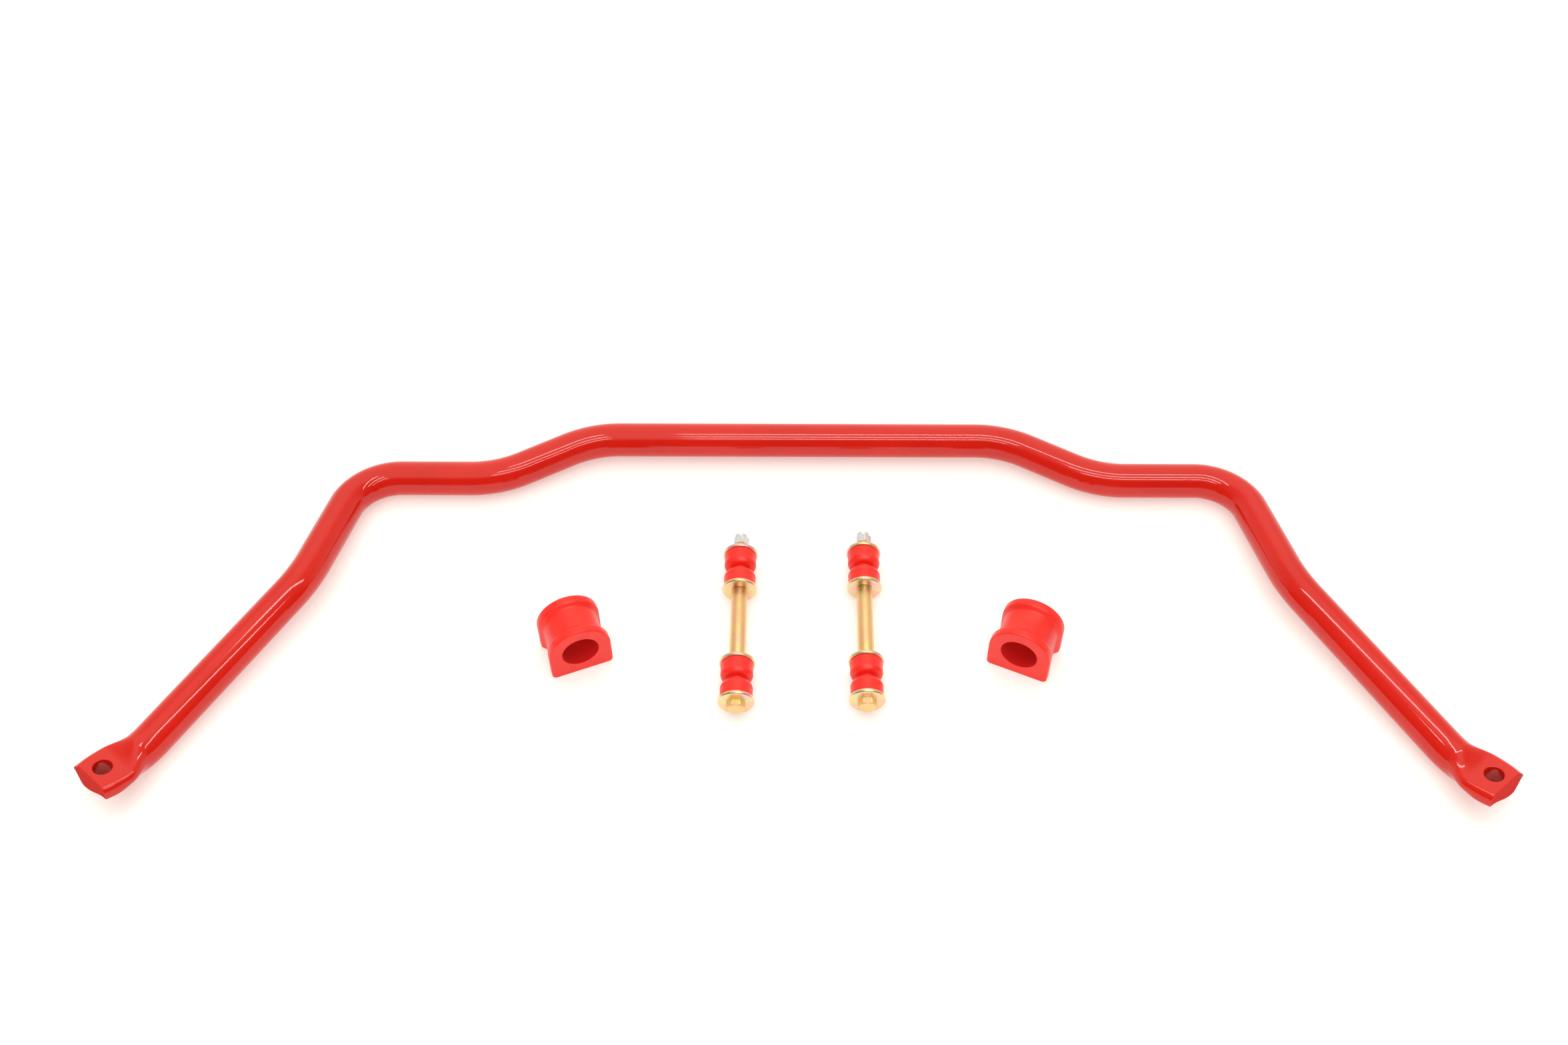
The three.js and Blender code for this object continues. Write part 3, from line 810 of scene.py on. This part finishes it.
def grommet_outline(face, inward):
    """A soft cylinder with a rounded inner shoulder and a nipple that meets its twin's."""
    start = WASHER_THICKNESS + CONTACT_GAP
    end = CLAMP_SPACE / 2 - CONTACT_GAP
    shoulder = end - 1.5 * MM
    corners = [
        (PASSAGE_RADIUS, start, 0),
        (GROMMET_RADIUS, start, 0.4 * MM),
        (GROMMET_RADIUS - 0.3 * MM, lerp(start, shoulder, 0.45), 12 * MM),
        (GROMMET_RADIUS, shoulder - 5 * MM, 5 * MM),
        (GROMMET_RADIUS - 1.6 * MM, shoulder - 1.2 * MM, 4 * MM),
        (NIPPLE_RADIUS, shoulder + 0.3 * MM, 0.8 * MM),
        (NIPPLE_RADIUS, end, 0.2 * MM),
        (PASSAGE_RADIUS, end, 0),
    ]
    return [(p.x, face + inward * p.y) for p in filleted(corners, 8)]


def sleeve_outline():
    """The spacer sleeve, from the middle of its bore round to the same place."""
    end = SLEEVE_SPACE / 2 - CONTACT_GAP
    corners = [
        (PASSAGE_RADIUS, 0, 0),
        (PASSAGE_RADIUS, -end, 0),
        (SLEEVE_RADIUS, -end, 0.5 * MM),
        (SLEEVE_RADIUS, end, 0.5 * MM),
        (PASSAGE_RADIUS, end, 0),
        (PASSAGE_RADIUS, 0, 0),
    ]
    return [tuple(p) for p in filleted(corners, 4)[:-1]]


def hexagon(across_flats, turn):
    """A hexagon's outline, its corners slightly rounded, one of them at the angle turn."""
    corner = across_flats / math.sqrt(3)
    count = 6
    tips = [Matrix.Rotation(turn + math.tau * k / count, 2) @ Vector((corner, 0)) for k in range(count)]
    setback = HEX_CORNER_ROUNDING * math.tan(math.pi / count)
    outline = []
    corner_steps, flat_steps = 3, 12
    for k in range(count):
        tip, following = tips[k], tips[(k + 1) % count]
        run = (following - tip).normalized()
        back = (tips[k - 1] - tip).normalized()
        centre = tip + (run + back).normalized() * (HEX_CORNER_ROUNDING / math.cos(math.pi / count))
        start = tip + back * setback - centre
        for step in range(corner_steps + 1):
            outline.append(centre + Matrix.Rotation(math.tau / count * step / corner_steps, 2) @ start)
        for step in range(1, flat_steps):
            outline.append((tip + run * setback).lerp(following - run * setback, step / flat_steps))
    return outline


def hex_ring(outline, y, limit):
    """The hexagon at height y, turned down to the limit radius where it is larger."""
    ring = []
    for p in outline:
        scale = min(1, limit / p.length)
        ring.append(Vector((p.x * scale, y, p.y * scale)))
    return ring


def chamfer_run(y_low, y_high, low_limit, high_limit, steps=8):
    """(y, limit) pairs down a hexagon's chamfer."""
    shares = [k / steps for k in range(steps + 1)]
    return [(lerp(y_low, y_high, share), lerp(low_limit, high_limit, share)) for share in shares]


def thread_rings(start, tip):
    """Rings of a right-hand thread, run out at its start and chamfered at its tip."""
    sides = 48
    steps_per_turn = 12
    crest_height, flank_slope = 1.35, 3.4  # a height over 1 is cut off, which leaves the crest's flat
    count = round((tip - start) / THREAD_PITCH * steps_per_turn)
    rings = []
    for i in range(count + 1):
        y = lerp(start, tip, i / count)
        ring = []
        for k in range(sides):
            angle = math.tau * k / sides
            phase = (y / THREAD_PITCH + angle / math.tau) % 1
            height = min(1, max(0, crest_height - flank_slope * abs(phase - 0.5)))
            root = lerp(THREAD_CREST, THREAD_ROOT, smoothstep(y, start, start + THREAD_PITCH))
            radius = lerp(root, THREAD_CREST, height)
            radius = min(radius, THREAD_ROOT - 0.3 * MM + (tip - y))
            ring.append(Vector((radius * math.cos(angle), y, radius * math.sin(angle))))
        rings.append(ring)
    return rings


def bolt_parts():
    """Points and faces of the bolt's head and of its shank, which runs into the head."""
    seat = -LINK_HALF - CONTACT_GAP
    top = seat - HEAD_HEIGHT
    outline = hexagon(HEAD_ACROSS_FLATS, 0)
    corner = HEAD_ACROSS_FLATS / math.sqrt(3)
    flat = HEAD_ACROSS_FLATS / 2
    dish = 0.35 * MM
    limits = [
        (top + dish, 0.02 * MM), (top + dish, 0.55 * flat), (top + 0.7 * dish, 0.66 * flat),
        (top + 0.15 * dish, 0.76 * flat), (top, 0.84 * flat), (top, flat - 0.7 * MM),
        (top + 0.12 * MM, flat - 0.3 * MM),
    ]
    limits += chamfer_run(top + 0.25 * MM, top + 1.0 * MM, flat - 0.1 * MM, corner)
    limits += [(seat - 0.7 * MM, corner), (seat - 0.15 * MM, corner), (seat, corner - 0.15 * MM)]
    limits += [(seat, flat), (seat, 0.02 * MM)]
    head = skin([hex_ring(outline, y, limit) for y, limit in limits])
    thread_start = NUT_TOP - THREAD_LENGTH
    smooth = [circle(SHANK_RADIUS, lerp(seat - 1 * MM, thread_start, k / 4), 48) for k in range(5)]
    shank = skin(smooth + thread_rings(thread_start + 0.2 * MM, NUT_TOP - 0.4 * MM))
    return head, shank


def merged(first, second):
    """Two sets of points and faces as one."""
    offset = len(first[0])
    return first[0] + second[0], first[1] + [tuple(i + offset for i in face) for face in second[1]]


def nut_limits():
    """(y, limit radius) pairs round the nut's section: up its outside, over its lip and down its bore."""
    corner = NUT_ACROSS_FLATS / math.sqrt(3)
    flat = NUT_ACROSS_FLATS / 2
    shoulder = NUT_SEAT + NUT_HEX_HEIGHT
    insert_base = NUT_TOP - INSERT_BASE - 0.05 * MM
    limits = [(NUT_SEAT, NUT_BORE_RADIUS + 0.3 * MM), (NUT_SEAT, flat - 0.5 * MM)]
    limits += chamfer_run(NUT_SEAT + 0.1 * MM, NUT_SEAT + 0.8 * MM, flat - 0.1 * MM, corner)
    limits += chamfer_run(shoulder - 1.1 * MM, shoulder - 0.2 * MM, corner, flat)
    fillet = 0.35 * MM
    for turn in quarter_round(4):
        at = NUT_COLLAR_RADIUS + 0.1 * MM
        rise = fillet * (1 - math.cos(turn))
        limits.append((shoulder - 0.1 * MM + rise, at - fillet * math.sin(turn)))
    dome = 1.7 * MM
    lip = NUT_BORE_RADIUS + 0.35 * MM
    limits.append((NUT_TOP - dome, NUT_COLLAR_RADIUS))
    for turn in quarter_round(9)[1:]:
        radius = lip + (NUT_COLLAR_RADIUS - lip) * math.cos(turn)
        limits.append((NUT_TOP - dome + dome * math.sin(turn), radius))
    limits += [
        (NUT_TOP - 0.25 * MM, lip - 0.15 * MM),
        (NUT_TOP - 0.7 * MM, lip + 0.1 * MM),
        (NUT_TOP - 1.25 * MM, INSERT_RADIUS + 0.1 * MM),
        (insert_base, INSERT_RADIUS + 0.1 * MM),
        (insert_base, NUT_BORE_RADIUS),
        (NUT_SEAT + 0.3 * MM, NUT_BORE_RADIUS),
    ]
    return limits


def insert_outline():
    """The locking ring inside the nut's collar."""
    top = NUT_TOP - 1.3 * MM
    base = NUT_TOP - INSERT_BASE
    corners = [
        (NUT_BORE_RADIUS, base, 0),
        (INSERT_RADIUS, base, 0.2 * MM),
        (INSERT_RADIUS, top - 0.2 * MM, 0.3 * MM),
        (NUT_BORE_RADIUS + 0.4 * MM, top, 0.1 * MM),
        (NUT_BORE_RADIUS, top, 0),
    ]
    return [tuple(p) for p in filleted(corners, 4)]


def build_link(side):
    """An end link: bolt, sleeve, four washers, four grommets, lock nut and its insert."""
    low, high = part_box(f"{side}_link_sleeve")
    middle = (low + high) / 2
    place = Matrix.Translation(middle)
    link = f"{side}_link"

    for end, outer, inner, inward in (
        ("head_end", -LINK_HALF, -SLEEVE_SPACE / 2, 1),
        ("nut_end", LINK_HALF, SLEEVE_SPACE / 2, -1),
    ):
        for which, face, way in (("outer", outer, inward), ("inner", inner, -inward)):
            washer = turned(f"{link}_{end}_{which}_plate", washer_outline(face, way), middle)
            stand_for(washer, f"{link}_{end}_{which}_washer", link, ZINC)
            grommet = turned(f"{link}_{end}_{which}_cushion", grommet_outline(face, way), middle)
            stand_for(grommet, f"{link}_{end}_{which}_grommet", link, POLYURETHANE)

    sleeve = turned(f"{link}_spacer_tube", sleeve_outline(), middle)
    stand_for(sleeve, f"{link}_sleeve", f"{link}_spacer", DEEP_ZINC)

    bolt = mesh_object(f"{link}_through_bolt", *merged(*bolt_parts()), 28)
    bolt.data.transform(place)
    stand_for(bolt, f"{link}_bolt", link, DEEP_ZINC)

    outline = hexagon(NUT_ACROSS_FLATS, NUT_TURN)
    rings = [hex_ring(outline, y, limit) for y, limit in nut_limits()]
    nut = mesh_object(f"{link}_lock_nut_body", *skin(rings, ends="joined"), 28)
    nut.data.transform(place)
    stand_for(nut, f"{link}_nut", f"{link}_lock_nut", CLEAR_ZINC)

    insert = turned(f"{link}_locking_ring", insert_outline(), middle)
    stand_for(insert, f"{link}_nut_insert", f"{link}_nut_carrier", NYLON)


# ---------------------------------------------------------------- stage, lights and camera

def build_floor():
    """A white acrylic table, lit from below."""
    reach = FLOOR_REACH
    corners = [(-reach, -reach), (reach, -reach), (reach, reach), (-reach, reach)]
    floor = mesh_object("floor", [Vector((x, y, 0)) for x, y in corners], [(0, 1, 2, 3)])
    shader = Shader("floor")
    shader.set(Base_Color=(0.64, 0.635, 0.63, 1), Roughness=0.9, Specular_IOR_Level=0.1)
    shader.set(Emission_Color=(1.0, 0.95, 0.88, 1), Emission_Strength=0.46)
    floor.data.materials.append(shader.material)
    floor.location.z = -FLOOR_GAP


def world_value(tree, climb, stops):
    """Brightness through (degrees up from the front horizon, value) stops, over the top to the back."""
    ramp = tree.nodes.new("ShaderNodeValToRGB")
    while len(ramp.color_ramp.elements) < len(stops):
        ramp.color_ramp.elements.new(0.5)
    for element, (angle, value) in zip(ramp.color_ramp.elements, stops):
        element.position = angle / 180
        element.color = (value, value, value, 1)
    tree.links.new(climb, ramp.inputs["Fac"])
    return ramp.outputs["Color"]


def world_math(tree, operation, first, second):
    """What a math node makes of two inputs, each a number or a socket."""
    node = tree.nodes.new("ShaderNodeMath")
    node.operation = operation
    for socket, value in zip(node.inputs, (first, second)):
        if isinstance(value, (int, float)):
            socket.default_value = value
        else:
            tree.links.new(value, socket)
    return node.outputs["Value"]


def build_world():
    """A warm white studio: a bright sweep overhead and behind, dimmer sides, and a dark band in front."""
    world = bpy.data.worlds.new("studio")
    world.use_nodes = True
    bpy.context.scene.world = world
    tree = world.node_tree
    split = tree.nodes.new("ShaderNodeSeparateXYZ")
    tree.links.new(tree.nodes.new("ShaderNodeTexCoord").outputs["Generated"], split.inputs["Vector"])
    forward = world_math(tree, "MULTIPLY", split.outputs["Y"], -1)
    climb = world_math(tree, "ARCTAN2", split.outputs["Z"], forward)
    share = world_math(tree, "DIVIDE", climb, math.pi)
    sweep = world_value(tree, share, SWEEP_STOPS)
    sides = world_value(tree, share, SIDE_STOPS)
    aside = tree.nodes.new("ShaderNodeMapRange")
    tree.links.new(world_math(tree, "ABSOLUTE", split.outputs["X"], 0), aside.inputs["Value"])
    aside.inputs["From Min"].default_value = ASIDE_START
    aside.inputs["From Max"].default_value = ASIDE_END
    mix = tree.nodes.new("ShaderNodeMix")
    mix.data_type = "RGBA"
    tree.links.new(aside.outputs["Result"], mix.inputs["Factor"])
    first, second = [s for s in mix.inputs if s.type == "RGBA"]
    tree.links.new(sweep, first)
    tree.links.new(sides, second)
    brightness = next(s for s in mix.outputs if s.type == "RGBA")
    tree.links.new(brightness, tree.nodes["Background"].inputs["Strength"])
    tree.nodes["Background"].inputs["Color"].default_value = (1.0, 0.96, 0.84, 1)


def add_area_light(name, location, size, aim, power):
    """A rectangular light, size (along X, along Y), aimed at a point."""
    data = bpy.data.lights.new(name, "AREA")
    data.shape = "RECTANGLE"
    data.size, data.size_y = size
    data.energy = power
    light = bpy.data.objects.new(name, data)
    light.location = location
    light.rotation_euler = (Vector(aim) - Vector(location)).to_track_quat("-Z", "Y").to_euler()
    bpy.context.scene.collection.objects.link(light)
    return light


def build_lights():
    """Broad fills overhead and in front, and tubes whose reflections are the thin lines on the bar."""
    middle, length = (TUBE_LEFT + TUBE_RIGHT) / 2, TUBE_RIGHT - TUBE_LEFT
    for k in range(TUBE_COUNT):
        y = FIRST_TUBE_Y - TUBE_SPACING * k
        place, below = (middle, y, TUBE_HEIGHT), (middle, y, 0)
        tube = add_area_light(f"tube_{k}", place, (length, TUBE_WIDTH), below, TUBE_POWER)
        tube.visible_camera = False
        tube.visible_diffuse = False
    fills = [
        add_area_light("fill", (0, -0.2, 3.2), (5, 5), (0, -0.2, 0), 90),
        add_area_light("front_fill", (0, -2.6, 1.0), (3, 2), (0, 0, 0), 22),
    ]
    for fill in fills:
        fill.visible_glossy = False
        fill.visible_camera = False


def build_camera():
    data = bpy.data.cameras.new("camera")
    data.sensor_width = CAMERA_SENSOR
    data.lens = CAMERA_LENS
    camera = bpy.data.objects.new("camera", data)
    level = Vector((math.cos(CAMERA_YAW), -math.sin(CAMERA_YAW), 0))
    ahead = Vector((math.sin(CAMERA_YAW), math.cos(CAMERA_YAW), 0))
    forward = ahead * math.cos(CAMERA_PITCH) - Vector((0, 0, math.sin(CAMERA_PITCH)))
    upward = level.cross(forward)
    right = level * math.cos(CAMERA_ROLL) + upward * math.sin(CAMERA_ROLL)
    top = upward * math.cos(CAMERA_ROLL) - level * math.sin(CAMERA_ROLL)
    turn = Matrix((right, top, -forward)).transposed().to_4x4()
    camera.matrix_world = Matrix.Translation(CAMERA_PLACE) @ turn
    bpy.context.scene.collection.objects.link(camera)
    bpy.context.scene.camera = camera


# ---------------------------------------------------------------- assembly

build_camera()
build_bar()
for side in ("left", "right"):
    build_bushing(side)
    build_link(side)
build_floor()
build_world()
build_lights()
bpy.context.scene.view_settings.view_transform = "Standard"
